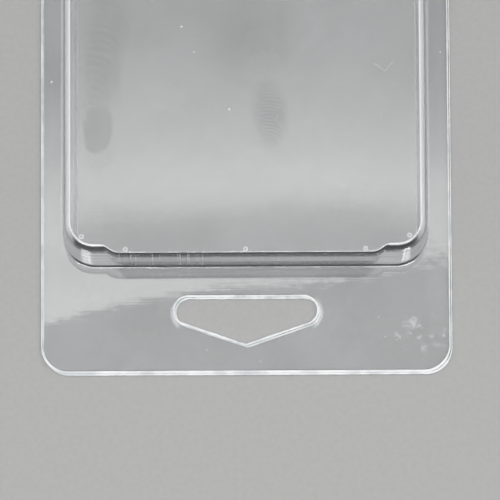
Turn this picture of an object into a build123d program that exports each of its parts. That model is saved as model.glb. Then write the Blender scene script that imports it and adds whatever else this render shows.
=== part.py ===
from build123d import *
import os
from dataclasses import dataclass
from math import asin, atan2, cos, degrees, hypot, radians, sin, sqrt, tan

# A clear clamshell pack, closed and lying on its back half with the cavity up.
# X is the width, the hang tab is at -Y and the fold at +Y. Lengths are in millimetres.

# The sheet that both halves are formed from
sheet = 0.4

# Outline of the closed pack, with rounded corners at the tab and at the fold
pack_width = 92.0
pack_length = 180.0
outline_radius = 6.0
tab_length = 24.9
side_flange = 5.0
fold_flange = 6.0

# The halves don't meet exactly: the front lies a little to the left and stops short at the tab
sideways_misfit = 0.4
tab_misfit = 0.4

# Cavity of the front half
cavity_height = 12.0
cavity_corner_radius = 7.3
side_draft_angle = 2.2
end_draft_angle = 6.0
face_radius = 1.3
root_radius = 0.5

# Upright bulge in the cavity's end wall beside the tab. Its width is measured where the lines of
# its front and its shoulders meet, and each shoulder runs back in an S-curve into the wall's top.
bulge_width = 59.2
bulge_foot_inset = 0.04
bulge_overlap = 0.1
shoulder_angle = 38.0
shoulder_front_radius = 4.4
shoulder_back_radius = 3.4
shoulder_tail = 2.2
bulge_face_radius = 0.65

# Shallow plug of the back half, which enters the cavity
plug_height = 2.5
plug_clearance = 1.5
plug_draft_angle = 8.0
plug_face_radius = 0.9

# Hang hole through both tabs: flat towards the cavity, with round ends and a blunt point
hole_width = 32.0
hole_height = 10.8
hole_end_radius = 3.1
hole_edge_distance = 6.6
hole_point_radius = 0.8

# Vent pips that the mould leaves along the face's tab end
pip_radius = 0.45
pip_height = 0.12
pip_inset = 1.2
pip_side_inset = 2.8
pip_corner_inset = 4.2

# How far a cutting shape runs past what it cuts
overrun = 2.0

# Places that follow from these sizes
half_width = pack_width - sideways_misfit
front_x = -sideways_misfit / 2
back_x = sideways_misfit / 2
tab_edge_y = -pack_length / 2
front_tab_edge_y = tab_edge_y + tab_misfit
fold_y = pack_length / 2 - sheet
contact_z = sheet
flange_top_z = contact_z + sheet
cavity_tab_y = tab_edge_y + tab_length
cavity_fold_y = fold_y - fold_flange
face_z = flange_top_z + cavity_height


@dataclass
class Rise:
    """A drafted block with rounded corners that stands on a half's flange."""

    centre: tuple
    width: float
    length: float
    height: float
    corner_radius: float
    side_angle: float
    end_angle: float
    face_radius: float

    def side_setback(self):
        return self.height * tan(radians(self.side_angle))

    def end_setback(self):
        return self.height * tan(radians(self.end_angle))


cavity = Rise(
    centre=(front_x, (cavity_tab_y + cavity_fold_y) / 2),
    width=half_width - 2 * side_flange,
    length=cavity_fold_y - cavity_tab_y,
    height=cavity_height,
    corner_radius=cavity_corner_radius,
    side_angle=side_draft_angle,
    end_angle=end_draft_angle,
    face_radius=face_radius,
)
plug_margin = sheet + plug_clearance
plug = Rise(
    centre=(back_x, cavity.centre[1]),
    width=cavity.width - 2 * plug_margin,
    length=cavity.length - 2 * plug_margin,
    height=plug_height,
    corner_radius=cavity_corner_radius - plug_margin,
    side_angle=plug_draft_angle,
    end_angle=plug_draft_angle,
    face_radius=plug_face_radius,
)


def flange_outline(centre_x, edge_y):
    """The outline that one half is cut to, from its tab edge to the fold."""
    length = fold_y - edge_y
    with BuildSketch() as outline:
        with Locations((centre_x, edge_y + length / 2)):
            RectangleRounded(half_width, length, outline_radius)
    return outline.sketch


def hang_hole(centre_x, flat_y):
    """The hang hole's outline: its right half, mirrored, with the point rounded."""
    end_x = hole_width / 2 - hole_end_radius
    drop = hole_height - hole_end_radius
    reach = hypot(end_x, drop)
    slope = atan2(drop, end_x) - asin(hole_end_radius / reach)
    slope_length = sqrt(reach**2 - hole_end_radius**2)
    touch = (slope_length * cos(slope), slope_length * sin(slope) - hole_height)
    with BuildSketch() as hole:
        with BuildLine():
            Line((0, 0), (end_x, 0))
            CenterArc(
                (end_x, -hole_end_radius),
                hole_end_radius,
                degrees(slope) - 90,
                180 - degrees(slope),
            )
            Line(touch, (0, -hole_height))
            mirror(about=Plane.YZ)
        make_face()
        fillet(hole.vertices().sort_by(Axis.Y)[0], hole_point_radius)
    return Pos(centre_x, flat_y) * hole.sketch


def drafted_block(rise, base_z, inset):
    """A rise's block, shrunk by the inset, with its face edge rounded."""
    width = rise.width - 2 * inset
    length = rise.length - 2 * inset
    side_setback = rise.side_setback()
    end_setback = rise.end_setback()
    base_radius = rise.corner_radius - inset
    top_radius = base_radius - (side_setback + end_setback) / 2
    with BuildPart() as block:
        with BuildSketch(Plane.XY.offset(base_z)):
            with Locations(rise.centre):
                RectangleRounded(width, length, base_radius)
        with BuildSketch(Plane.XY.offset(base_z + rise.height)):
            with Locations(rise.centre):
                RectangleRounded(
                    width - 2 * side_setback, length - 2 * end_setback, top_radius
                )
        loft()
        fillet(block.edges().group_by(Axis.Z)[-1], rise.face_radius - inset)
    return block.part


def bulge_block(base_z, inset):
    """The bulge: an upright block whose shoulders run back in S-curves through the end wall."""
    face_edge = cavity.end_setback() + face_radius * tan(radians(45 - end_draft_angle / 2))
    front_y = cavity_tab_y + bulge_foot_inset + inset
    tail_y = cavity_tab_y + face_edge - bulge_face_radius + bulge_overlap + inset
    inside_y = tail_y + shoulder_tail
    corner_x = bulge_width / 2 - inset * tan(radians(shoulder_angle / 2))
    shoulder_x = corner_x + (tail_y - front_y) / tan(radians(shoulder_angle))
    end_x = shoulder_x + shoulder_tail
    with BuildPart() as block:
        with BuildSketch(Plane.XY.offset(base_z)) as plan:
            with BuildLine():
                Polyline(
                    (front_x - end_x, inside_y),
                    (front_x - end_x, tail_y),
                    (front_x - shoulder_x, tail_y),
                    (front_x - corner_x, front_y),
                    (front_x + corner_x, front_y),
                    (front_x + shoulder_x, tail_y),
                    (front_x + end_x, tail_y),
                    (front_x + end_x, inside_y),
                    close=True,
                )
            make_face()
            tails = plan.vertices().filter_by_position(Axis.Y, tail_y, tail_y)
            fillet(tails.sort_by(Axis.X)[1:3], shoulder_back_radius + inset)
            fillet(plan.vertices().group_by(Axis.Y)[0], shoulder_front_radius - inset)
        extrude(amount=cavity.height)
        rim = block.edges().group_by(Axis.Z)[-1].sort_by(Axis.Y)[:-3]
        fillet(rim, bulge_face_radius - inset)
    return block.part


def formed_solid(outline, rise, flange_z, inset, slab_depth, bulge=None):
    """A slab below the flange level with a rise on it: a skin's outside, or its inside if inset."""
    block = drafted_block(rise, flange_z, inset)
    x, y = rise.centre
    with BuildPart() as form:
        with BuildSketch(Plane.XY.offset(flange_z)):
            add(outline)
        extrude(amount=-slab_depth)
        add(block)
        root = (
            form.edges()
            .filter_by_position(Axis.Z, flange_z, flange_z)
            .filter_by_position(Axis.X, x - rise.width / 2, x + rise.width / 2)
            .filter_by_position(Axis.Y, y - rise.length / 2, y + rise.length / 2)
        )
        fillet(root, root_radius + inset)
        if bulge:
            add(bulge)
    return form.part


# Front half: flange, cavity with its bulge, vent pips and hang hole
front_outline = flange_outline(front_x, front_tab_edge_y)
front_hole = hang_hole(front_x, front_tab_edge_y + hole_edge_distance + hole_height)
front_outside = formed_solid(
    front_outline, cavity, flange_top_z, 0, sheet, bulge_block(flange_top_z, 0)
)
front_inside = formed_solid(
    front_outline, cavity, contact_z, sheet, overrun, bulge_block(contact_z, sheet)
)
pip_x = bulge_width / 2 - pip_side_inset
pip_y = cavity_tab_y + pip_inset
corner_pip_x = cavity.width / 2 - pip_corner_inset
corner_pip_y = cavity_tab_y + pip_corner_inset
pip_places = [
    (front_x - corner_pip_x, corner_pip_y),
    (front_x - pip_x, pip_y),
    (front_x, pip_y),
    (front_x + pip_x, pip_y),
    (front_x + corner_pip_x, corner_pip_y),
]
with BuildPart() as front_shell:
    add(front_outside)
    add(front_inside, mode=Mode.SUBTRACT)
    with BuildSketch(Plane.XY.offset(contact_z)):
        add(front_hole)
    extrude(amount=sheet, mode=Mode.SUBTRACT)
    with BuildSketch(Plane.XY.offset(face_z)):
        with Locations(pip_places):
            Circle(pip_radius)
    extrude(amount=pip_height)

# Back half: flange, shallow plug and hang hole
back_outline = flange_outline(back_x, tab_edge_y)
back_hole = hang_hole(back_x, tab_edge_y + hole_edge_distance + hole_height)
back_outside = formed_solid(back_outline, plug, contact_z, 0, sheet)
back_inside = formed_solid(back_outline, plug, 0, sheet, overrun)
with BuildPart() as back_shell:
    add(back_outside)
    add(back_inside, mode=Mode.SUBTRACT)
    with BuildSketch():
        add(back_hole)
    extrude(amount=sheet, mode=Mode.SUBTRACT)

# The fold that joins the halves, a tight half-round crease between the outline's corners
fold_length = half_width - sideways_misfit - 2 * outline_radius
with BuildPart() as living_hinge:
    with BuildSketch(Plane.YZ.offset(-fold_length / 2)):
        with BuildLine():
            crease = CenterArc((fold_y, contact_z), sheet, -90, 180)
            Line(crease @ 1, crease @ 0)
        make_face()
    extrude(amount=fold_length)

front_shell.part.label = "front_shell"
back_shell.part.label = "back_shell"
living_hinge.part.label = "living_hinge"

os.makedirs("parts", exist_ok=True)
export_step(front_shell.part, "parts/front_shell.step")
export_step(back_shell.part, "parts/back_shell.step")
export_step(living_hinge.part, "parts/living_hinge.step")
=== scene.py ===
"""Looks of the clear clamshell pack: materials, cut edges, fold, dust, lights and camera."""

from collections import namedtuple
from math import pi, radians

import bmesh
import bpy
from mathutils import Euler, Matrix, Vector, noise


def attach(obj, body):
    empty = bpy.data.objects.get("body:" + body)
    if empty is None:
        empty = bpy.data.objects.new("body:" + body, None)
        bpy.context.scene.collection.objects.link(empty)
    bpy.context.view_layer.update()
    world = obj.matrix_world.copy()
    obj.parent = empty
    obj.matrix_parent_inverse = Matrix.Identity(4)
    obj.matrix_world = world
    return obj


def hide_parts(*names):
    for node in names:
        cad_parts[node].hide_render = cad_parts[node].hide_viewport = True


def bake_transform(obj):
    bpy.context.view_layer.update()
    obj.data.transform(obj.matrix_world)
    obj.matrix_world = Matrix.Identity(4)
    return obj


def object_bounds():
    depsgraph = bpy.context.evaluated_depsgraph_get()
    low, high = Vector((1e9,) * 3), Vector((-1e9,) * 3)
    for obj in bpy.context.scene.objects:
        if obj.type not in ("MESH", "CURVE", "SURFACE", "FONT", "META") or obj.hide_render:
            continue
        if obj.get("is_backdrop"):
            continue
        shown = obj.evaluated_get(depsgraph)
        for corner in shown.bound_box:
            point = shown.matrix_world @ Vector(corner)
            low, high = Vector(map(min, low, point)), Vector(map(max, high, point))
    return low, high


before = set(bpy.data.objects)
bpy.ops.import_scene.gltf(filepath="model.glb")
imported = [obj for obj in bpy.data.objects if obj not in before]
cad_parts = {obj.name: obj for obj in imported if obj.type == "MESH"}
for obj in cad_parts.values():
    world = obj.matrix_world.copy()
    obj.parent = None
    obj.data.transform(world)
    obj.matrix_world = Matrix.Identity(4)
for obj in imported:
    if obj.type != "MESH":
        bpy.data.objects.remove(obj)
cad_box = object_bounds()

MM = 0.001

# ---------------------------------------------------------------- the pack's own places

# Lengths are in metres, and as the frame has them. Each half has its own middle and tab edge.
SHEET = 0.4 * MM
SHELL_WIDTH = 91.6 * MM
OUTLINE_RADIUS = 6 * MM
FOLD_Y = 89.6 * MM
CONTACT_Z = SHEET
FLANGE_TOP_Z = 2 * SHEET
FACE_Z = 12.8 * MM
MISFIT = 0.2 * MM
CENTRE_X = {"back": MISFIT, "front": -MISFIT}
TAB_EDGE_Y = {"back": -90 * MM, "front": -89.6 * MM}

# Hang hole
HOLE_EDGE_DISTANCE = 6.6 * MM
HOLE_HALF_WIDTH = 16 * MM
HOLE_HEIGHT = 10.8 * MM
HOLE_END_RADIUS = 3.1 * MM
HOLE_POINT_RADIUS = 0.8 * MM

# Vent pips at the face's tab end: distance from the middle and place along the pack
PIPS = ((0.0, -63.9 * MM), (26.8 * MM, -63.9 * MM), (36.6 * MM, -60.9 * MM))

# Bands over which one look passes into the next: where it starts and where it is complete.
# X is the distance to either side of the front half's middle.
FLANGE_TO_WALL_Z = (1.0 * MM, 2.0 * MM)
WALL_FOOT_Z = (1.3 * MM, 2.4 * MM)
FACE_BEND_Z = (9.0 * MM, 11.0 * MM)
TAB_END_Y = (-56.0 * MM, -60.0 * MM)
FOLD_END_Y = (74.5 * MM, 78.5 * MM)
ON_BULGE_X = (30.5 * MM, 27.0 * MM)


def mesh_piece(name, bm, body, material):
    """Turn a bmesh into a piece, which rides on a body if one is given."""
    mesh = bpy.data.meshes.new(name)
    bm.to_mesh(mesh)
    bm.free()
    piece = bpy.data.objects.new(name, mesh)
    bpy.context.scene.collection.objects.link(piece)
    mesh.materials.append(material)
    if body:
        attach(piece, body)
    return piece


# ---------------------------------------------------------------- shader nodes


class Nodes:
    """Short words for adding and linking nodes in a tree."""

    def __init__(self, tree):
        self.tree = tree

    def add(self, kind, settings=None, **inputs):
        """Add a node. An input is named, or i and its number, and takes a value or a socket."""
        node = self.tree.nodes.new(kind)
        for key, value in (settings or {}).items():
            setattr(node, key, value)
        for key, value in inputs.items():
            socket = self.socket(node, key)
            if isinstance(value, bpy.types.NodeSocket):
                self.link(value, socket)
            else:
                socket.default_value = value
        return node

    def link(self, output, socket):
        self.tree.links.new(output, socket)

    @staticmethod
    def socket(node, key):
        if key[0] == "i" and key[1:].isdigit():
            return node.inputs[int(key[1:])]
        return node.inputs[key.replace("_", " ")]

    def math(self, operation, *values):
        inputs = {f"i{k}": value for k, value in enumerate(values)}
        return self.add("ShaderNodeMath", {"operation": operation}, **inputs).outputs[0]

    def chain(self, operation, first, *others):
        for other in others:
            first = self.math(operation, first, other)
        return first

    def product(self, *values):
        return self.chain("MULTIPLY", *values)

    def total(self, *values):
        return self.chain("ADD", *values)

    def greatest(self, *values):
        return self.chain("MAXIMUM", *values)

    def ramp(self, value, band, low=0.0, high=1.0):
        """Pass smoothly from low to high while the value crosses the band."""
        node = self.add(
            "ShaderNodeMapRange",
            {"interpolation_type": "SMOOTHSTEP"},
            Value=value,
            From_Min=band[0],
            From_Max=band[1],
            To_Min=low,
            To_Max=high,
        )
        return node.outputs["Result"]

    def parts(self, vector):
        return self.add("ShaderNodeSeparateXYZ", Vector=vector).outputs

    def vector_math(self, operation, **inputs):
        return self.add("ShaderNodeVectorMath", {"operation": operation}, **inputs)

    def flat_length(self, vector):
        """Length of a vector seen from above."""
        flat = self.vector_math("MULTIPLY", i0=vector, i1=(1, 1, 0)).outputs[0]
        return self.vector_math("LENGTH", i0=flat).outputs["Value"]

    def distance(self, across, along, centre):
        """Distance of a place on the pack from a centre, both seen from above."""
        offset = self.add(
            "ShaderNodeCombineXYZ",
            X=self.math("SUBTRACT", across, centre[0]),
            Y=self.math("SUBTRACT", along, centre[1]),
        ).outputs[0]
        return self.vector_math("LENGTH", i0=offset).outputs["Value"]

    def noise(self, vector, scale=1, detail=2.0, roughness=0.5, distortion=0.0):
        node = self.add(
            "ShaderNodeTexNoise",
            Vector=vector,
            Scale=scale,
            Detail=detail,
            Roughness=roughness,
            Distortion=distortion,
        )
        return node.outputs[0]

    def stretched(self, vector, scale=(1, 1, 1), location=(0, 0, 0), angle=0.0):
        node = self.add(
            "ShaderNodeMapping",
            Vector=vector,
            Location=location,
            Rotation=(0, 0, angle),
            Scale=scale,
        )
        return node.outputs[0]

    def local(self, vector, centre, size, angle=0.0):
        """A place measured from a centre, in shares of a size."""
        node = self.add(
            "ShaderNodeMapping",
            {"vector_type": "TEXTURE"},
            Vector=vector,
            Location=centre,
            Rotation=(0, 0, angle),
            Scale=size,
        )
        return node.outputs[0]

    def mix_colour(self, share, first, second):
        node = self.add("ShaderNodeMix", {"data_type": "RGBA"}, i0=share, i6=first, i7=second)
        return node.outputs[2]

    def mix_shader(self, share, first, second):
        return self.add("ShaderNodeMixShader", i0=share, i1=first, i2=second).outputs[0]

    def group(self, tree, **inputs):
        return self.add("ShaderNodeGroup", {"node_tree": tree}, **inputs).outputs


def node_group(name, inputs, outputs):
    """A shader node group with named inputs (name, kind, default) and outputs (name, kind)."""
    group = bpy.data.node_groups.new(name, "ShaderNodeTree")
    for label, kind, default in inputs:
        socket = group.interface.new_socket(label, in_out="INPUT", socket_type=kind)
        if default is not None:
            socket.default_value = default
    for label, kind in outputs:
        group.interface.new_socket(label, in_out="OUTPUT", socket_type=kind)
    nodes = Nodes(group)
    source = nodes.add("NodeGroupInput").outputs
    sink = nodes.add("NodeGroupOutput").inputs
    return group, nodes, source, sink


# ---------------------------------------------------------------- relief of the formed sheet

# Slow waves, calmer at the tab
WAVE_SCALE = 16
CALM_Y = (-66 * MM, -40 * MM)
CALM_SHARE = 0.12

# Crown across the sheet, which grows along it, as a bend in 1/m2 on the flange and on the face
FLANGE_CROWN = -2.4
FACE_CROWN = -1.2

# Ripples and the sheet's cross lines
RIPPLE_SCALE = 240
RIPPLE_HEIGHT = 0.0035 * MM
CROSS_LINE_SCALE = (30, 800, 30)

# The tab curls from here on, steeper towards its left, and flatter still near its right edge
CURL_START_Y = -60 * MM
CURL_START_SOFTNESS = 6 * MM
CURL_SLOPE = 0.0111
CURL_SLOPE_ACROSS = -0.085
RIGHT_EDGE_X = (15 * MM, 47 * MM)
RIGHT_EDGE_SLOPE = 0.0060


def make_sheet_relief():
    """The formed sheet's relief in metres: slow waves, the sheet's cross lines, the tab's curl."""
    group, nodes, source, sink = node_group(
        "formed sheet relief",
        [
            ("Vector", "NodeSocketVector", None),
            ("Normal", "NodeSocketVector", None),
            ("Wave height", "NodeSocketFloat", 0.15 * MM),
            ("Line height", "NodeSocketFloat", 0.0012 * MM),
        ],
        [("Height", "NodeSocketFloat")],
    )
    vector = source["Vector"]
    place = nodes.parts(vector)

    waves = nodes.noise(vector, WAVE_SCALE, detail=2, roughness=0.4, distortion=0.4)
    calm = nodes.ramp(place["Y"], CALM_Y, low=CALM_SHARE)
    waves = nodes.product(waves, source["Wave height"], calm)

    bend = nodes.ramp(place["Z"], FLANGE_TO_WALL_Z, low=FLANGE_CROWN, high=FACE_CROWN)
    crown = nodes.product(place["X"], place["X"], place["Y"], bend)

    ripples = nodes.noise(vector, RIPPLE_SCALE, detail=2, roughness=0.6)
    ripples = nodes.product(ripples, RIPPLE_HEIGHT)
    lines = nodes.noise(nodes.stretched(vector, CROSS_LINE_SCALE), detail=3, roughness=0.6)
    lines = nodes.product(lines, source["Line height"])

    beyond = nodes.math("SUBTRACT", CURL_START_Y, place["Y"])
    beyond = nodes.math("SMOOTH_MAX", beyond, 0.0, CURL_START_SOFTNESS)
    slope = nodes.math("MULTIPLY_ADD", place["X"], CURL_SLOPE_ACROSS, CURL_SLOPE)
    flatter = nodes.ramp(place["X"], RIGHT_EDGE_X, high=RIGHT_EDGE_SLOPE)
    slope = nodes.math("SUBTRACT", slope, flatter)
    on_tab = nodes.ramp(place["Z"], FLANGE_TO_WALL_Z, low=1.0, high=0.0)
    curl = nodes.product(beyond, slope, on_tab)

    # Both skins of the sheet bend the same way, so the relief turns round on the one below
    skin = nodes.math("SIGN", nodes.parts(source["Normal"])["Z"])
    height = nodes.total(waves, crown, ripples, lines, curl)
    nodes.link(nodes.product(height, skin), sink["Height"])
    return group


# ---------------------------------------------------------------- looks of the drawn walls

# How far a surface faces up, from 0 on an upright wall to 1 on the flange and the face
UPRIGHT = (0.45, 0.15)
OFF_UPRIGHT = (0.12, 0.28)
OFF_FLAT = (0.9999, 0.9950)
SHORT_OF_FLAT = (0.93, 0.85)
BEND_HIGHLIGHT_FROM_FLAT = (0.9998, 0.9970)
BEND_HIGHLIGHT_TO_BEND = (0.935, 0.975)
SIDE_BEND_FROM_FLAT = (0.995, 0.97)
SIDE_BEND_TO_WALL = (0.1, 0.3)

# Upright pull lines: fine lines in bunches, paler on the left
PULL_LINE_SCALE = (3000, 12, 10)
PULL_BUNCH_SCALE = (330, 12, 10)
PULL_LINE_LEVELS = (0.53, 0.66)
PULL_BUNCH_LEVELS = (0.38, 0.58)
PULL_LINES_X = (30.0 * MM, 27.5 * MM)
PALE_PULL_LINES_X = (-16 * MM, -2 * MM)
RIGHT_PULL_LINE_PALENESS = 0.2

# Level streaks where the sheet is stretched, and a painted highlight band on the bulge
STREAK_SCALE = (30, 30, 1500)
STREAK_LEVELS = (0.3, 0.7)
STREAK_PALENESS = (0.35, 0.7)
STREAK_TOP_Z = (9.2 * MM, 10.8 * MM)
STREAK_TOP_PALENESS = 0.05
BULGE_BAND_Z = (9.4 * MM, 8.6 * MM)
BULGE_BAND_HIGHLIGHT = 0.5
LOW_BULGE_Z = (5.6 * MM, 4.6 * MM)
LOW_BULGE_PALENESS = 0.1

# Painted highlights along the bends, paler at the face than at the flange, and fainter along the
# bulge
FOOT_BEND_HIGHLIGHT = 0.4
FACE_BEND_HIGHLIGHT = 0.9
BULGE_BEND_HIGHLIGHT_SHARE = 0.3
SIDE_BEND_X = (37.2 * MM, 39.6 * MM)
SIDE_BEND_HIGHLIGHT = 0.45

# Painted highlight on the bulge's shoulders, told by how far they face sideways
FACES_SIDEWAYS = (0.15, 0.45)
SHOULDER_X = (33.4 * MM, 32.6 * MM)
SHOULDER_TOP_Z = (10.4 * MM, 9.0 * MM)
SHOULDER_HIGHLIGHT = 0.9

# Painted highlight rings round the vent pips
PIP_RING_RADIUS = 0.42 * MM
PIP_RING_WIDTH = (0.07 * MM, 0.17 * MM)
PIP_RING_HIGHLIGHT = 0.9

# Painted shade on the bends at both ends, and a painted reflection of the bulge in the flange,
# whose ends are chamfered
WALL_TOP_Z = (8.8 * MM, 10.8 * MM)
LOW_BULGE_PAINTED_SHADE = 0.5
IMAGE_FAR_Y = (-68.1 * MM, -67.7 * MM)
IMAGE_NEAR_Y = (-64.6 * MM, -65.2 * MM)
IMAGE_CHAMFER = (95.6 * MM, 93.8 * MM)
ON_FLANGE_Z = (1.3 * MM, 0.9 * MM)
PAINTED_REFLECTION_DARKNESS = 0.25
BEFORE_CORNER_X = (37.5 * MM, 40.2 * MM)

WallSpot = namedtuple("WallSpot", "place upward sideways beside at_tab at_end wall on_bulge")


def find_wall_spot(nodes, source):
    """Where a point lies on the cavity's walls, and how its surface is turned."""
    place = nodes.parts(source["Vector"])
    normal = nodes.parts(source["Normal"])
    upward = nodes.math("ABSOLUTE", normal["Z"])
    beside = nodes.math("ABSOLUTE", nodes.math("ADD", place["X"], MISFIT))
    at_tab = nodes.ramp(place["Y"], TAB_END_Y)
    return WallSpot(
        place=place,
        upward=upward,
        sideways=nodes.math("ABSOLUTE", normal["X"]),
        beside=beside,
        at_tab=at_tab,
        at_end=nodes.greatest(at_tab, nodes.ramp(place["Y"], FOLD_END_Y)),
        wall=nodes.product(nodes.ramp(place["Z"], WALL_FOOT_Z), nodes.ramp(upward, UPRIGHT)),
        on_bulge=nodes.product(nodes.ramp(beside, ON_BULGE_X), at_tab),
    )


def pull_lines(nodes, vector, spot):
    """Upright lines that the mould pulls into the bulge's front."""
    lines = nodes.noise(nodes.stretched(vector, PULL_LINE_SCALE), detail=2, roughness=0.6)
    bunches = nodes.noise(nodes.stretched(vector, PULL_BUNCH_SCALE), detail=2, roughness=0.6)
    return nodes.product(
        nodes.ramp(lines, PULL_LINE_LEVELS),
        nodes.ramp(bunches, PULL_BUNCH_LEVELS),
        spot.wall,
        spot.at_tab,
        nodes.ramp(spot.beside, PULL_LINES_X),
    )


def stretched_wall_and_highlight(nodes, vector, spot, low_bulge):
    """Paleness of the end walls, where the sheet is stretched most, and a painted highlight band
    along the bulge.
    """
    streaks = nodes.noise(nodes.stretched(vector, STREAK_SCALE), detail=3, roughness=0.6)
    height = spot.place["Z"]
    pale = nodes.product(
        spot.wall,
        nodes.ramp(streaks, STREAK_LEVELS, *STREAK_PALENESS),
        spot.at_end,
        nodes.ramp(height, STREAK_TOP_Z, low=1.0, high=STREAK_TOP_PALENESS),
    )
    # Painted highlight band along the bulge's wall
    band = nodes.product(spot.on_bulge, nodes.ramp(height, BULGE_BAND_Z), spot.wall)
    pale = nodes.math("MULTIPLY_ADD", band, BULGE_BAND_HIGHLIGHT, pale)
    return nodes.product(pale, nodes.ramp(low_bulge, (0, 1), low=1.0, high=LOW_BULGE_PALENESS))


def painted_bend_highlights(nodes, spot, at_face):
    """Painted highlights: pale lines along the bends at the flange and at the face, wider along
    the sides.
    """
    bend_highlight = nodes.product(
        nodes.ramp(spot.upward, BEND_HIGHLIGHT_FROM_FLAT),
        nodes.ramp(spot.upward, BEND_HIGHLIGHT_TO_BEND),
        nodes.ramp(at_face, (0, 1), low=FOOT_BEND_HIGHLIGHT, high=FACE_BEND_HIGHLIGHT),
        nodes.ramp(spot.on_bulge, (0, 1), low=1.0, high=BULGE_BEND_HIGHLIGHT_SHARE),
    )
    side_bend_highlight = nodes.product(
        nodes.ramp(spot.upward, SIDE_BEND_FROM_FLAT),
        nodes.ramp(spot.upward, SIDE_BEND_TO_WALL),
        at_face,
        nodes.ramp(spot.beside, SIDE_BEND_X, high=SIDE_BEND_HIGHLIGHT),
    )
    return nodes.greatest(bend_highlight, side_bend_highlight)


def painted_shoulder_highlights(nodes, spot):
    """Painted highlight on the walls that run back from the bulge's front."""
    return nodes.product(
        nodes.ramp(spot.sideways, FACES_SIDEWAYS, high=SHOULDER_HIGHLIGHT),
        nodes.ramp(spot.beside, SHOULDER_X),
        spot.wall,
        spot.at_tab,
        nodes.ramp(spot.place["Z"], SHOULDER_TOP_Z),
    )


def painted_pip_highlights(nodes, spot, at_face):
    """Painted highlight rings round the vent pips."""
    rings = []
    for centre in PIPS:
        reach = nodes.distance(spot.beside, spot.place["Y"], centre)
        off_ring = nodes.math("ABSOLUTE", nodes.math("SUBTRACT", reach, PIP_RING_RADIUS))
        ring = nodes.ramp(off_ring, PIP_RING_WIDTH, low=PIP_RING_HIGHLIGHT, high=0.0)
        rings.append(nodes.product(ring, at_face))
    return nodes.greatest(*rings)


def painted_bend_shade(nodes, spot, low_bulge):
    """Painted shade on the bent walls at both ends and on the bulge's low wall, and a painted
    reflection of the bulge in the flange.
    """
    place = spot.place
    # Painted shade along the bends at both ends
    bends = nodes.greatest(
        nodes.ramp(spot.upward, OFF_UPRIGHT), nodes.ramp(place["Z"], WALL_TOP_Z)
    )
    bends = nodes.product(bends, nodes.ramp(spot.upward, SHORT_OF_FLAT), spot.at_end)
    reach = nodes.math("SUBTRACT", spot.beside, place["Y"])
    # Painted reflection: the bulge's image in the flange, darker
    image = nodes.product(
        nodes.ramp(reach, IMAGE_CHAMFER),
        nodes.ramp(place["Y"], IMAGE_FAR_Y),
        nodes.ramp(place["Z"], ON_FLANGE_Z, high=PAINTED_REFLECTION_DARKNESS),
        nodes.ramp(place["Y"], IMAGE_NEAR_Y),
    )
    # The bulge's low wall gets painted shade as well
    dark = nodes.greatest(bends, nodes.product(low_bulge, LOW_BULGE_PAINTED_SHADE), image)
    return nodes.product(dark, nodes.ramp(spot.beside, BEFORE_CORNER_X, low=1.0, high=0.0))


def make_drawn_walls():
    """The cavity's drawn walls: pull lines on the bulge, pale stretch, painted highlights on the
    bends, shoulders and pip rings, and painted shade and reflection at the ends.
    """
    group, nodes, source, sink = node_group(
        "drawn walls",
        [
            ("Vector", "NodeSocketVector", None),
            ("Normal", "NodeSocketVector", None),
            ("Line height", "NodeSocketFloat", 0.03 * MM),
        ],
        [
            ("Height", "NodeSocketFloat"),
            ("Whitening and highlights", "NodeSocketFloat"),
            ("Painted shade and reflection", "NodeSocketFloat"),
        ],
    )
    vector = source["Vector"]
    spot = find_wall_spot(nodes, source)
    at_face = nodes.ramp(spot.place["Z"], FACE_BEND_Z)
    low_bulge = nodes.product(
        spot.on_bulge,
        nodes.ramp(spot.place["Z"], LOW_BULGE_Z),
        nodes.ramp(spot.upward, OFF_FLAT),
    )

    lines = pull_lines(nodes, vector, spot)
    nodes.link(nodes.product(lines, source["Line height"]), sink["Height"])

    fade = nodes.ramp(
        spot.place["X"], PALE_PULL_LINES_X, low=1.0, high=RIGHT_PULL_LINE_PALENESS
    )
    # Real whitening from pull lines and stretch, with painted highlights on the bends, shoulders,
    # bulge band and pip rings
    whitening_and_highlights = nodes.greatest(
        nodes.total(nodes.product(lines, fade), stretched_wall_and_highlight(nodes, vector, spot, low_bulge)),
        painted_bend_highlights(nodes, spot, at_face),
        painted_shoulder_highlights(nodes, spot),
        painted_pip_highlights(nodes, spot, at_face),
    )
    nodes.link(whitening_and_highlights, sink["Whitening and highlights"])
    # Painted shade on the end bends and a painted reflection of the bulge in the flange
    nodes.link(painted_bend_shade(nodes, spot, low_bulge), sink["Painted shade and reflection"])
    return group


# ---------------------------------------------------------------- haze, finger marks and wear

# Haze all over, in clouds
CLOUD_SCALE = 55
CLOUD_LEVELS = (0.3, 0.75)
CLOUD_SHARE = (0.6, 1.4)

# Scuffed corner of the tab: grainy patches that thin out away from a centre
SCUFF_CENTRE = (39.0 * MM, -80.4 * MM, 0)
SCUFF_SIZE = (8.0 * MM, 5.5 * MM, 10 * MM)
SCUFF_REACH = (1.2, 0.2)
SCUFF_PATCH_SCALE = 520
SCUFF_PATCH_LEVELS = (0.50, 0.72)
SCUFF_GRAIN_SCALE = 1700
SCUFF_GRAIN_LEVELS = (0.42, 0.60)
SCUFF_GRAIN_SHARE = (0.15, 1.0)

# Strain round the hang hole's ends
STRAIN_CENTRE = (12.9 * MM, -75.9 * MM)
STRAIN_REACH = (4.6 * MM, 3.5 * MM)
STRAIN_X = (14.5 * MM, 16.0 * MM)
STRAIN_PALENESS = 0.22


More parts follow.
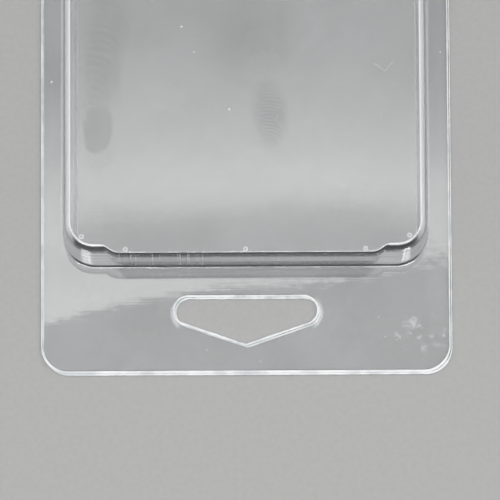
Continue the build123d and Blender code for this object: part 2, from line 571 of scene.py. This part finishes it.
def make_surface_haze():
    """Share of the surface that rubbing and dust have made white and matt."""
    group, nodes, source, sink = node_group(
        "surface haze",
        [
            ("Vector", "NodeSocketVector", None),
            ("Haze", "NodeSocketFloat", 0.05),
            ("Scuffs", "NodeSocketFloat", 0.20),
        ],
        [("Mask", "NodeSocketFloat")],
    )
    vector = source["Vector"]
    place = nodes.parts(vector)

    clouds = nodes.noise(vector, CLOUD_SCALE, detail=4, roughness=0.6)
    haze = nodes.product(nodes.ramp(clouds, CLOUD_LEVELS, *CLOUD_SHARE), source["Haze"])

    reach = nodes.flat_length(nodes.local(vector, SCUFF_CENTRE, SCUFF_SIZE))
    patches = nodes.noise(vector, SCUFF_PATCH_SCALE, detail=1, roughness=0.3)
    grain = nodes.noise(vector, SCUFF_GRAIN_SCALE, detail=2)
    scuffs = nodes.product(
        nodes.ramp(reach, SCUFF_REACH),
        nodes.ramp(patches, SCUFF_PATCH_LEVELS),
        nodes.ramp(grain, SCUFF_GRAIN_LEVELS, *SCUFF_GRAIN_SHARE),
        source["Scuffs"],
    )

    beside = nodes.math("ABSOLUTE", place["X"])
    reach = nodes.distance(beside, place["Y"], STRAIN_CENTRE)
    strain = nodes.product(
        nodes.ramp(reach, STRAIN_REACH), nodes.ramp(beside, STRAIN_X, high=STRAIN_PALENESS)
    )
    nodes.link(nodes.total(haze, scuffs, strain), sink["Mask"])
    return group


# A finger mark's outline wobbles by this share of its reach, about its own middle
WOBBLE_SCALE = 3
WOBBLE = 0.35

# Its skin ridges are oval rings, shifted so that they run round a place near its end
RIDGE_STRETCH = (1, 2, 0)
RIDGE_SHIFT = (0.3, 1.7, 0)
RIDGE_SCALE = 2.2
RIDGE_DISTORTION = 1.6
RIDGE_DETAIL_SCALE = 0.6


def make_finger_mark():
    """A finger mark: an oval smear with skin ridges, about its own middle."""
    group, nodes, source, sink = node_group(
        "finger mark",
        [
            ("Vector", "NodeSocketVector", None),
            ("Ridge strength", "NodeSocketFloat", 0.5),
            ("Soft from", "NodeSocketFloat", 0.6),
        ],
        [("Mask", "NodeSocketFloat"), ("Ridges", "NodeSocketFloat")],
    )
    vector = source["Vector"]

    wobble = nodes.add("ShaderNodeTexNoise", Vector=vector, Scale=WOBBLE_SCALE, Detail=2.0)
    drift = nodes.vector_math("SCALE", i0=wobble.outputs["Color"], Scale=WOBBLE).outputs[0]
    moved = nodes.vector_math("ADD", i0=vector, i1=drift).outputs[0]
    centred = nodes.vector_math("SUBTRACT", i0=moved, i1=(WOBBLE / 2,) * 3).outputs[0]
    fade = (source["Soft from"], 1.0)
    mask = nodes.ramp(nodes.flat_length(centred), fade, low=1.0, high=0.0)
    nodes.link(mask, sink["Mask"])

    ridges = nodes.add(
        "ShaderNodeTexWave",
        {"wave_type": "RINGS", "rings_direction": "Z"},
        Vector=nodes.stretched(vector, RIDGE_STRETCH, RIDGE_SHIFT),
        Scale=RIDGE_SCALE,
        Distortion=RIDGE_DISTORTION,
        Detail=1.0,
        Detail_Scale=RIDGE_DETAIL_SCALE,
    ).outputs["Fac"]
    nodes.link(nodes.product(ridges, source["Ridge strength"], mask), sink["Ridges"])
    return group


# Handling scratches: their turn, and how fine they are across themselves and along themselves
SCRATCHES = ((0.5, (3120, 104, 1)), (1.3, (3960, 132, 1)), (2.4, (3480, 116, 1)))
SCRATCH_LEVELS = (0.70, 0.80)
SCRATCH_PATCH_SCALE = 70
SCRATCH_PATCH_LEVELS = (0.45, 0.75)
SCRATCH_ROUGHNESS = 0.12
DULL_PATCH_SCALE = 30
DULL_PATCH_LEVELS = (0.35, 0.8)
DULL_PATCH_ROUGHNESS = 0.012


def make_fine_wear():
    """Fine handling scratches and haze, as an addition to the roughness."""
    group, nodes, source, sink = node_group(
        "fine wear",
        [("Vector", "NodeSocketVector", None), ("Amount", "NodeSocketFloat", 1.0)],
        [("Roughness", "NodeSocketFloat")],
    )
    vector = source["Vector"]
    strands = []
    for angle, fineness in SCRATCHES:
        turned = nodes.stretched(vector, angle=angle)
        strand = nodes.noise(nodes.stretched(turned, fineness), detail=1, roughness=0.4)
        strands.append(nodes.ramp(strand, SCRATCH_LEVELS))
    patches = nodes.noise(vector, SCRATCH_PATCH_SCALE, detail=3)
    patches = nodes.ramp(patches, SCRATCH_PATCH_LEVELS, high=SCRATCH_ROUGHNESS)
    scratches = nodes.product(nodes.greatest(*strands), patches)
    haze = nodes.noise(vector, DULL_PATCH_SCALE, detail=4)
    haze = nodes.ramp(haze, DULL_PATCH_LEVELS, high=DULL_PATCH_ROUGHNESS)
    roughness = nodes.product(nodes.total(scratches, haze), source["Amount"])
    nodes.link(roughness, sink["Roughness"])
    return group


sheet_relief = make_sheet_relief()
drawn_walls = make_drawn_walls()
surface_haze = make_surface_haze()
finger_mark = make_finger_mark()
fine_wear = make_fine_wear()


# ---------------------------------------------------------------- materials

PLASTIC_IOR = 1.57

# Clear sheet, which turns to its edge tint where it is seen at a slant
TINT = (0.965, 0.968, 0.966, 1)
EDGE_TINT = (0.70, 0.715, 0.72, 1)
BACK_EDGE_TINT = (0.90, 0.92, 0.92, 1)
# Dark colour for the painted shade and painted reflection on the drawn walls
PAINTED_SHADE_TINT = (0.10, 0.10, 0.105, 1)
SLANT = (0.30, 0.90)
CLEAR_ROUGHNESS = 0.012
FACE_DULL_Z = (11.8 * MM, 12.6 * MM)
FACE_DULLNESS = 0.045
PASSED_LIGHT = (0.95, 0.955, 0.96, 1)

# White and matt where it is rubbed or stretched, and where painted highlights lie on the drawn
# walls
WEAR_AND_HIGHLIGHT_COLOUR = (0.90, 0.92, 0.93, 1)
WEAR_AND_HIGHLIGHT_ROUGHNESS = 0.55
WHITENING_AND_HIGHLIGHT_STRENGTH = 0.7
STEEP_TO_FLAT = (0.2, 0.8)

# Smears that fingers leave
SMEAR_COLOUR = (0.70, 0.70, 0.695, 1)
SMEAR_ROUGHNESS = 0.22

# A finger mark's soft_from is the share of its reach at which it starts to fade
FingerMark = namedtuple("FingerMark", "centre size angle strength ridge_strength soft_from")
FACE_MARKS = (
    FingerMark(
        (-33.0 * MM, -36.0 * MM, 0), (3.8 * MM, 6.8 * MM, 10 * MM), radians(-6), 0.6, 0.45, 0.7
    ),
    FingerMark(
        (-31.0 * MM, -14.5 * MM, 0), (6.4 * MM, 25 * MM, 10 * MM), radians(-6), 0.75, 0.30, 0.3
    ),
    FingerMark(
        (5.2 * MM, -31.5 * MM, 0), (5.2 * MM, 11.0 * MM, 10 * MM), radians(8), 0.75, 0.6, 0.25
    ),
    FingerMark(
        (1.8 * MM, -14.5 * MM, 0), (14 * MM, 15 * MM, 10 * MM), radians(-5), 0.85, 0.1, 0.0
    ),
)

# Cut edges, in paler and darker patches
CUT_PALE = (0.93, 0.945, 0.95, 1)
CUT_DARK = (0.72, 0.75, 0.77, 1)
CUT_PATCH_SCALE = 220
CUT_PATCH_LEVELS = (0.35, 0.7)
CUT_GRAIN_SCALE = 1800
CUT_GRAIN_LEVELS = (0.3, 0.7)
CUT_ROUGHNESS = (0.3, 0.6)
CUT_GRAIN_HEIGHT = 0.06 * MM

# Plain surfaces, faintly mottled
DUST_COLOUR = (0.92, 0.91, 0.88, 1)
FLOOR_COLOUR = (0.45, 0.45, 0.445, 1)
PLAIN_ROUGHNESS = 0.9
MOTTLE_SCALE = 900
MOTTLE_LEVELS = (0.3, 0.7)
MOTTLE_SHADE = 0.96


def new_material(name):
    material = bpy.data.materials.new(name)
    material.use_nodes = True
    material.node_tree.nodes.clear()
    return material, Nodes(material.node_tree)


def smear_cover(nodes, place, marks):
    """How much of the sheet the finger marks cover."""
    covers = []
    for mark in marks:
        smear = nodes.group(
            finger_mark,
            Vector=nodes.local(place, mark.centre, mark.size, mark.angle),
            Ridge_strength=mark.ridge_strength,
            Soft_from=mark.soft_from,
        )
        cover = nodes.math("SUBTRACT", smear["Mask"], smear["Ridges"])
        covers.append(nodes.product(cover, mark.strength))
    return nodes.greatest(*covers)


def clear_sheet(name, edge_tint, waves, wear, haze, marks=(), drawn=False, wall_rub=0.0):
    """Clear formed sheet that lets the lamps through, with its relief, wear and finger marks, and
    painted highlights and painted shade on drawn walls.
    """
    material, nodes = new_material(name)
    coordinates = nodes.add("ShaderNodeTexCoord").outputs
    place = coordinates["Object"]
    normal = coordinates["Normal"]

    height = nodes.group(sheet_relief, Vector=place, Normal=normal, Wave_height=waves)["Height"]
    white = nodes.group(surface_haze, Vector=place, Haze=haze)["Mask"]
    roughness = nodes.group(fine_wear, Vector=place, Amount=wear)["Roughness"]
    roughness = nodes.total(roughness, CLEAR_ROUGHNESS)
    facing = nodes.add("ShaderNodeLayerWeight", Blend=0.5).outputs["Facing"]
    colour = nodes.mix_colour(nodes.ramp(facing, SLANT), TINT, edge_tint)
    if drawn:
        walls = nodes.group(drawn_walls, Vector=place, Normal=normal)
        height = nodes.total(height, walls["Height"])
        # Real whitening of the drawn walls together with their painted highlights
        white = nodes.greatest(white, nodes.product(walls["Whitening and highlights"], WHITENING_AND_HIGHLIGHT_STRENGTH))
        dull_face = nodes.ramp(nodes.parts(place)["Z"], FACE_DULL_Z, high=FACE_DULLNESS)
        roughness = nodes.total(roughness, dull_face)
        # Painted shade at the end bends and a painted reflection of the bulge in the flange darken
        # the sheet
        colour = nodes.mix_colour(walls["Painted shade and reflection"], colour, PAINTED_SHADE_TINT)
    if wall_rub:
        upward = nodes.math("ABSOLUTE", nodes.parts(normal)["Z"])
        white = nodes.greatest(white, nodes.ramp(upward, STEEP_TO_FLAT, low=wall_rub, high=0.0))
    if marks:
        smear = smear_cover(nodes, place, marks)
        roughness = nodes.total(roughness, nodes.product(smear, SMEAR_ROUGHNESS))
        colour = nodes.mix_colour(smear, colour, SMEAR_COLOUR)

    bump = nodes.add("ShaderNodeBump", Height=height, Distance=1.0, Strength=1.0).outputs[0]
    clear = nodes.add(
        "ShaderNodeBsdfPrincipled",
        Base_Color=colour,
        Roughness=roughness,
        IOR=PLASTIC_IOR,
        Transmission_Weight=1.0,
        Normal=bump,
    ).outputs[0]
    wear_and_highlight = nodes.add(
        "ShaderNodeBsdfPrincipled",
        Base_Color=WEAR_AND_HIGHLIGHT_COLOUR,
        Roughness=WEAR_AND_HIGHLIGHT_ROUGHNESS,
        IOR=PLASTIC_IOR,
        Normal=bump,
    ).outputs[0]
    surface = nodes.mix_shader(white, clear, wear_and_highlight)
    passing = nodes.add("ShaderNodeBsdfTransparent", Color=PASSED_LIGHT).outputs[0]
    light_path = nodes.add("ShaderNodeLightPath").outputs
    for ray in ("Is Diffuse Ray", "Is Shadow Ray"):
        surface = nodes.mix_shader(light_path[ray], surface, passing)
    nodes.add("ShaderNodeOutputMaterial", Surface=surface)
    return material


def frosted_edge():
    """Whitened plastic where the die cut the sheet."""
    material, nodes = new_material("cut edge")
    place = nodes.add("ShaderNodeTexCoord").outputs["Object"]
    grain = nodes.noise(place, CUT_GRAIN_SCALE, detail=3, roughness=0.6)
    patches = nodes.ramp(nodes.noise(place, CUT_PATCH_SCALE, detail=2), CUT_PATCH_LEVELS)
    bump = nodes.add("ShaderNodeBump", Height=grain, Distance=CUT_GRAIN_HEIGHT, Strength=1.0)
    surface = nodes.add(
        "ShaderNodeBsdfPrincipled",
        Base_Color=nodes.mix_colour(patches, CUT_PALE, CUT_DARK),
        Roughness=nodes.ramp(grain, CUT_GRAIN_LEVELS, *CUT_ROUGHNESS),
        IOR=PLASTIC_IOR,
        Normal=bump.outputs[0],
    )
    nodes.add("ShaderNodeOutputMaterial", Surface=surface.outputs[0])
    return material


def plain_surface(name, colour):
    material, nodes = new_material(name)
    place = nodes.add("ShaderNodeTexCoord").outputs["Object"]
    mottle = nodes.ramp(nodes.noise(place, MOTTLE_SCALE, detail=3), MOTTLE_LEVELS)
    darker = tuple(c * MOTTLE_SHADE for c in colour[:3]) + (1,)
    surface = nodes.add(
        "ShaderNodeBsdfPrincipled",
        Base_Color=nodes.mix_colour(mottle, colour, darker),
        Roughness=PLAIN_ROUGHNESS,
    )
    nodes.add("ShaderNodeOutputMaterial", Surface=surface.outputs[0])
    return material


front_sheet = clear_sheet(
    "clear front sheet",
    EDGE_TINT,
    waves=0.15 * MM,
    wear=1.0,
    haze=0.04,
    marks=FACE_MARKS,
    drawn=True,
)
back_sheet = clear_sheet(
    "clear back sheet", BACK_EDGE_TINT, waves=0.20 * MM, wear=0.8, haze=0.02, wall_rub=0.4
)
fold_sheet = clear_sheet("clear fold sheet", EDGE_TINT, waves=0.1 * MM, wear=1.5, haze=0.10)
cut_edge = frosted_edge()
dust_white = plain_surface("dust", DUST_COLOUR)
floor_grey = plain_surface("floor", FLOOR_COLOUR)

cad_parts["front_shell"].material_slots[0].material = front_sheet


# ---------------------------------------------------------------- back half

# Air between the halves and at the fold, and how near to a level a vertex counts as on it
AIR_GAP = 0.02 * MM
ON_LEVEL = 0.001 * MM


def back_skin():
    """The back half, its flange a hair thinner so that light crosses an air gap to the front's."""
    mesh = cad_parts["back_shell"].data.copy()
    for vert in mesh.vertices:
        if abs(vert.co.z - CONTACT_Z) < ON_LEVEL:
            vert.co.z -= AIR_GAP
    mesh.materials.clear()
    mesh.materials.append(back_sheet)
    skin = bpy.data.objects.new("back_skin", mesh)
    bpy.context.scene.collection.objects.link(skin)
    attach(skin, "back")
    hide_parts("back_shell")


back_skin()


# ---------------------------------------------------------------- cut edges

# From the bottom to the top of each half's whitened rim
RIM_Z = {"back": (0.0, 0.39 * MM), "front": (0.395 * MM, 0.815 * MM)}

# Steps round an outline's corner and round a hang hole's end, and the length of one along a cut
CORNER_STEPS = 12
HOLE_STEPS = 48
CUT_STEP = 0.7 * MM

# How big the level or the upright part of a normal is from which it faces aside or up
FACES_ASIDE = 0.3
FACES_UP = 0.5

# How near to the fold a face counts as the fold's side
AT_FOLD = 0.01 * MM

# Fine and coarse wobble of a cut, and how far it stands out on the whole, in shares of its amount
SEED_STEPS = (7.3, 3.1, 1.7)
FINE_WOBBLE_SCALE = 1500
COARSE_WOBBLE_SCALE = 380
COARSE_WOBBLE = 0.6
STANDING_OUT = 0.3

# The die cut more roughly round the tab's end, up to this far from its edge
ROUGH_CUT_END = 6.5 * MM
ROUGH_CUT_FADE = 4.5 * MM
ROUGH_CUT_WIDTH = 0.24 * MM


def facing_aside(bm):
    """The vertices that face sideways, each with the level direction that it faces."""
    bm.normal_update()
    for vert in bm.verts:
        across = Vector((vert.normal.x, vert.normal.y, 0))
        if across.length > FACES_ASIDE:
            yield vert, across.normalized()


def ragged(bm, amount, seed):
    """Move the vertices to and fro across the cut, so that it looks cut and not drawn."""
    shift = Vector([seed * step for step in SEED_STEPS])
    for vert, across in facing_aside(bm):
        fine = noise.noise(vert.co * FINE_WOBBLE_SCALE + shift)
        coarse = noise.noise(vert.co * COARSE_WOBBLE_SCALE + shift)
        wobble = fine + COARSE_WOBBLE * coarse
        vert.co += across * (wobble * amount + STANDING_OUT * amount)


def band_from_wall(bm, width, amount, seed):
    """Give an upright wall its width towards the sheet and roughen both sides."""
    cuts = {}
    for edge in bm.edges:
        level = abs(edge.verts[0].co.z - edge.verts[1].co.z) < ON_LEVEL
        count = int(edge.calc_length() / CUT_STEP) if level else 0
        if count:
            cuts.setdefault(count, []).append(edge)
    for count, edges in cuts.items():
        alive = [edge for edge in edges if edge.is_valid]
        bmesh.ops.subdivide_edges(bm, edges=alive, cuts=count, use_grid_fill=True)
    bmesh.ops.solidify(bm, geom=list(bm.faces), thickness=width)
    ragged(bm, amount, seed)
    bmesh.ops.recalc_face_normals(bm, faces=list(bm.faces))


def widen_at_tab(bm, middle, tab_y):
    """Widen the band inwards round the tab's end, where the die cut more roughly."""
    for vert, across in facing_aside(bm):
        share = min((tab_y + ROUGH_CUT_END - vert.co.y) / ROUGH_CUT_FADE, 1)
        if share > 0 and across.dot(middle - vert.co) > 0:
            vert.co += across * (ROUGH_CUT_WIDTH * share * share * (3 - 2 * share))


def outline_edge(half, width, amount, seed):
    """The whitened cut round one half, from one end of the fold round the tab to the other."""
    tab_y = TAB_EDGE_Y[half]
    length = FOLD_Y - tab_y
    low, high = RIM_Z[half]
    middle = Vector((CENTRE_X[half], tab_y + length / 2, 0))
    bm = bmesh.new()
    bmesh.ops.create_cube(bm, size=1)
    bmesh.ops.scale(bm, vec=(SHELL_WIDTH, length, high - low), verts=list(bm.verts))
    bmesh.ops.translate(
        bm, vec=middle + Vector((0, 0, (low + high) / 2)), verts=list(bm.verts)
    )
    upright = [e for e in bm.edges if abs(e.verts[0].co.z - e.verts[1].co.z) > SHEET / 2]
    bmesh.ops.bevel(
        bm,
        geom=upright,
        offset=OUTLINE_RADIUS,
        segments=CORNER_STEPS,
        affect="EDGES",
        profile=0.5,
        material=-1,
    )
    bm.normal_update()
    away = [
        face
        for face in bm.faces
        if abs(face.normal.z) > FACES_UP or face.calc_center_median().y > FOLD_Y - AT_FOLD
    ]
    bmesh.ops.delete(bm, geom=away, context="FACES")
    band_from_wall(bm, width, amount, seed)
    widen_at_tab(bm, middle, tab_y)
    mesh_piece(f"{half}_cut_edge", bm, half, cut_edge)


def hole_edge(half, width, amount, seed):
    """The whitened cut round one half's hang hole."""
    flat_y = TAB_EDGE_Y[half] + HOLE_EDGE_DISTANCE + HOLE_HEIGHT
    end_x = HOLE_HALF_WIDTH - HOLE_END_RADIUS
    point_y = flat_y - HOLE_HEIGHT + HOLE_POINT_RADIUS
    rounds = (
        (CENTRE_X[half] - end_x, flat_y - HOLE_END_RADIUS, HOLE_END_RADIUS),
        (CENTRE_X[half] + end_x, flat_y - HOLE_END_RADIUS, HOLE_END_RADIUS),
        (CENTRE_X[half], point_y, HOLE_POINT_RADIUS),
    )
    low, high = RIM_Z[half]
    bm = bmesh.new()
    for x, y, radius in rounds:
        bmesh.ops.create_cone(
            bm,
            segments=HOLE_STEPS,
            radius1=radius,
            radius2=radius,
            depth=high - low,
            matrix=Matrix.Translation((x, y, (low + high) / 2)),
        )
    bmesh.ops.delete(bm, geom=list(bm.edges), context="EDGES_FACES")
    bmesh.ops.convex_hull(bm, input=list(bm.verts))
    bmesh.ops.dissolve_limit(
        bm, angle_limit=radians(1), verts=list(bm.verts), edges=list(bm.edges)
    )
    bm.normal_update()
    caps = [face for face in bm.faces if abs(face.normal.z) > FACES_UP]
    bmesh.ops.delete(bm, geom=caps, context="FACES")
    loose = [v for v in bm.verts if not v.link_faces]
    bmesh.ops.delete(bm, geom=loose, context="VERTS")
    bmesh.ops.reverse_faces(bm, faces=list(bm.faces))
    band_from_wall(bm, width, amount, seed)
    mesh_piece(f"{half}_hole_edge", bm, half, cut_edge)


outline_edge("back", width=0.20 * MM, amount=0.035 * MM, seed=1)
outline_edge("front", width=0.26 * MM, amount=0.04 * MM, seed=2)
hole_edge("back", width=0.34 * MM, amount=0.09 * MM, seed=3)
hole_edge("front", width=0.34 * MM, amount=0.10 * MM, seed=4)


# ---------------------------------------------------------------- dust and lint

# Specks as x, y and size, in millimetres
FACE_SPECKS = (
    (-14.3, -12.8, 0.32),
    (-11.5, -18.7, 0.22),
    (-3.7, -31.9, 0.29),
    (9.2, -5.0, 0.17),
    (33.0, -26.3, 0.14),
    (26.9, -44.4, 0.14),
    (21.8, -49.4, 0.20),
    (17.5, -34.0, 0.13),
    (-24.0, -52.0, 0.13),
    (-18.5, -36.5, 0.12),
    (30.3, -33.2, 0.17),
    (12.0, -20.0, 0.12),
)
FLANGE_SPECKS = (
    (-43.7, -22.5, 0.35),
    (-43.3, -60.2, 0.17),
    (43.9, -16.0, 0.17),
    (36.8, -80.8, 0.23),
    (39.2, -79.6, 0.17),
    (33.6, -82.2, 0.20),
    (29.5, -77.0, 0.14),
    (31.0, -81.5, 0.17),
    (-18.6, -70.5, 0.17),
    (-9.0, -84.4, 0.14),
    (12.0, -70.4, 0.13),
    (-36.0, -71.6, 0.13),
    (3.0, -87.0, 0.14),
)

# Finer specks strewn over the face: their count, their field's middle and half size, and their
# smallest size and how much bigger they get, in millimetres
FINE_SPECK_COUNT = 46
FINE_SPECK_MIDDLE_Y = 8
FINE_SPECK_FIELD = (38, 74)
FINE_SPECK_SIZE = 0.05
FINE_SPECK_GROWTH = 0.05

# A speck's form and how high it lies, in shares of its size, and the turn from one to the next
SPECK_FORM = (1.0, 0.55, 0.35, 1)
SPECK_LIFT = 0.1
SPECK_TURN = 2.4

# A fibre's course over the face and its thickness, in millimetres
LINT_POINTS = (
    (28.8, -21.5),
    (30.0, -22.3),
    (31.0, -23.2),
    (31.6, -23.0),
    (32.2, -22.0),
    (33.0, -21.2),
)
LINT_THICKNESS = 0.07


def fine_specks():
    """Finer dust, strewn over the face."""
    width, length = FINE_SPECK_FIELD
    for k in range(FINE_SPECK_COUNT):
        x = noise.cell(Vector((k * 1.7, 3.1, 0.4))) * width
        y = noise.cell(Vector((k * 1.7, 8.9, 5.2))) * length + FINE_SPECK_MIDDLE_Y
        growth = abs(noise.cell(Vector((k * 2.3, 1.2, 9.9))))
        yield x, y, FINE_SPECK_SIZE + FINE_SPECK_GROWTH * growth


def specks():
    """Flecks of dust that lie on the front half."""
    placed = [(x, y, FACE_Z, size) for x, y, size in FACE_SPECKS + tuple(fine_specks())]
    placed += [(x, y, FLANGE_TOP_Z, size) for x, y, size in FLANGE_SPECKS]
    bm = bmesh.new()
    for k, (x, y, z, size) in enumerate(placed):
        turn = Matrix.Rotation(k * SPECK_TURN, 4, "Z") @ Matrix.Diagonal(SPECK_FORM)
        place = Matrix.Translation((x * MM, y * MM, z + SPECK_LIFT * size * MM))
        bmesh.ops.create_icosphere(bm, subdivisions=1, radius=size * MM, matrix=place @ turn)
    mesh_piece("dust_specks", bm, "front", dust_white)


def lint(name, points, thickness):
    """A hair-thin fibre that lies on the face along the given points, in millimetres."""
    bm = bmesh.new()
    radius = thickness * MM / 2
    first = Vector((points[0][0] * MM, points[0][1] * MM, FACE_Z + radius))
    ring = bmesh.ops.create_circle(bm, cap_ends=True, segments=6, radius=radius)["verts"]
    bmesh.ops.rotate(bm, verts=ring, matrix=Matrix.Rotation(pi / 2, 3, "Y"))
    bmesh.ops.translate(bm, vec=first, verts=ring)
    face = bm.faces[:][0]
    for here, there in zip(points, points[1:]):
        grown = bmesh.ops.extrude_discrete_faces(bm, faces=[face])
        face = grown["faces"][0]
        step = Vector(((there[0] - here[0]) * MM, (there[1] - here[1]) * MM, 0))
        bmesh.ops.translate(bm, vec=step, verts=list(face.verts))
    bmesh.ops.recalc_face_normals(bm, faces=list(bm.faces))
    mesh_piece(name, bm, "front", dust_white)


specks()
lint("lint_right", LINT_POINTS, LINT_THICKNESS)


# ---------------------------------------------------------------- fold

FOLD_HALF_LENGTH = 39.6 * MM
FOLD_STEPS = 12
END_FACE = 0.5


def fold_strip():
    """The fold: the sheet bent half round between the two halves."""
    bm = bmesh.new()
    start = bm.verts.new((-FOLD_HALF_LENGTH, FOLD_Y + AIR_GAP, 0))
    bmesh.ops.spin(
        bm,
        geom=[start],
        cent=(0, FOLD_Y + AIR_GAP, CONTACT_Z),
        axis=(1, 0, 0),
        angle=pi,
        steps=FOLD_STEPS,
        use_merge=False,
    )
    ends = sorted(bm.verts, key=lambda v: v.co.z)
    bm.edges.new((ends[0], ends[-1]))
    bmesh.ops.contextual_create(bm, geom=list(bm.edges))
    grown = bmesh.ops.extrude_face_region(bm, geom=list(bm.faces))
    moved = [g for g in grown["geom"] if isinstance(g, bmesh.types.BMVert)]
    bmesh.ops.translate(bm, vec=(2 * FOLD_HALF_LENGTH, 0, 0), verts=moved)
    bmesh.ops.recalc_face_normals(bm, faces=list(bm.faces))
    for face in bm.faces:
        face.smooth = abs(face.normal.x) < END_FACE
    strip = mesh_piece("fold_strip", bm, None, fold_sheet)
    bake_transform(strip)
    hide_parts("living_hinge")


fold_strip()


# ---------------------------------------------------------------- stage, lights, camera

FLOOR_SIZE = 4
FLOOR_Z = -0.1 * MM

CARD_COLOUR = (1.0, 1.0, 0.99, 1)

# Surroundings, which pass from even to dim towards the viewer
EVEN_GREY = (0.31, 0.31, 0.31, 1)
DIM_GREY = (0.08, 0.08, 0.08, 1)
TOWARDS_VIEWER = (0.25, 0.7)

# The camera's sensor and lens in millimetres, and how it stands: far off, so that the pack looks
# as flat as in the photo
CAMERA_SENSOR = 36
CAMERA_LENS = 642
CAMERA_DISTANCE = 2.0
CAMERA_LEAN = radians(12.5)
CAMERA_ROLL = radians(-0.28)
CAMERA_AIM = (0.8 * MM, -61.5 * MM, 0.8 * MM)


def make_floor():
    bm = bmesh.new()
    bmesh.ops.create_grid(bm, x_segments=1, y_segments=1, size=FLOOR_SIZE)
    bmesh.ops.translate(bm, vec=(0, 0, FLOOR_Z), verts=list(bm.verts))
    floor = mesh_piece("floor", bm, None, floor_grey)
    floor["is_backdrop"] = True


def area_light(name, place, target, width, length, radiance):
    data = bpy.data.lights.new(name, "AREA")
    data.shape = "RECTANGLE"
    data.size = width
    data.size_y = length
    data.energy = radiance * pi * width * length
    lamp = bpy.data.objects.new(name, data)
    lamp.location = place
    aim = Vector(target) - Vector(place)
    lamp.rotation_euler = aim.to_track_quat("-Z", "Y").to_euler()
    lamp.visible_camera = False
    bpy.context.scene.collection.objects.link(lamp)


def light_card(name, near_y, far_y, half_width, height, near_glow, far_glow, fall):
    """An overhead light card that fades from its near edge to its far one."""
    material, nodes = new_material(name)
    place = nodes.parts(nodes.add("ShaderNodeTexCoord").outputs["Object"])
    glow = nodes.ramp(place["Y"], (near_y, near_y + fall), near_glow, far_glow)
    emission = nodes.add("ShaderNodeEmission", Color=CARD_COLOUR, Strength=glow)
    nodes.add("ShaderNodeOutputMaterial", Surface=emission.outputs[0])
    bm = bmesh.new()
    bmesh.ops.create_grid(bm, x_segments=1, y_segments=1, size=1)
    length = far_y - near_y
    bmesh.ops.scale(bm, vec=(half_width, length / 2, 1), verts=list(bm.verts))
    bmesh.ops.translate(bm, vec=(0, near_y + length / 2, height), verts=list(bm.verts))
    bmesh.ops.reverse_faces(bm, faces=list(bm.faces))
    card = mesh_piece(name, bm, None, material)
    card.visible_camera = False
    card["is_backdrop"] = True


def make_world():
    """Even studio surroundings, dimmer on the side where the viewer stands."""
    world = bpy.data.worlds.new("studio")
    world.use_nodes = True
    world.node_tree.nodes.clear()
    nodes = Nodes(world.node_tree)
    direction = nodes.parts(nodes.add("ShaderNodeTexCoord").outputs["Generated"])
    dim = nodes.ramp(nodes.product(direction["Y"], -1.0), TOWARDS_VIEWER)
    colour = nodes.mix_colour(dim, EVEN_GREY, DIM_GREY)
    background = nodes.add("ShaderNodeBackground", Color=colour, Strength=1.0)
    nodes.add("ShaderNodeOutputWorld", Surface=background.outputs[0])
    bpy.context.scene.world = world


def make_camera():
    """Far above the pack, leaning a little towards the hang tab."""
    data = bpy.data.cameras.new("camera")
    data.sensor_width = CAMERA_SENSOR
    data.lens = CAMERA_LENS
    data.clip_start = 0.1
    data.clip_end = 10
    lean = Euler((CAMERA_LEAN, 0, 0)).to_matrix()
    turn = lean @ Euler((0, 0, CAMERA_ROLL)).to_matrix()
    place = Vector(CAMERA_AIM) - turn @ Vector((0, 0, -CAMERA_DISTANCE))
    camera = bpy.data.objects.new("camera", data)
    camera.matrix_world = Matrix.Translation(place) @ turn.to_4x4()
    bpy.context.scene.collection.objects.link(camera)
    bpy.context.scene.camera = camera


make_floor()
make_world()
light_card(
    "overhead card",
    near_y=0.0745,
    far_y=0.60,
    half_width=0.8,
    height=0.6,
    near_glow=1.6,
    far_glow=0.27,
    fall=0.065,
)
area_light(
    "key", place=(0, -0.262, 0.6), target=(0, -0.06, 0), width=0.55, length=0.075, radiance=13.0
)
area_light(
    "wall fill", place=(0, -0.36, 0.6), target=(0, -0.06, 0), width=0.8, length=0.14, radiance=2.6
)
for name, x in (("left side", -0.42), ("right side", 0.42)):
    area_light(
        name, place=(x, 0.15, 0.45), target=(0, 0.03, 0), width=0.5, length=0.5, radiance=1.0
    )
make_camera()

scene = bpy.context.scene
scene.view_settings.view_transform = "Standard"

boxes = {"cad": cad_box, "visual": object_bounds()}
{k: [list(corner) for corner in box] for k, box in boxes.items()}
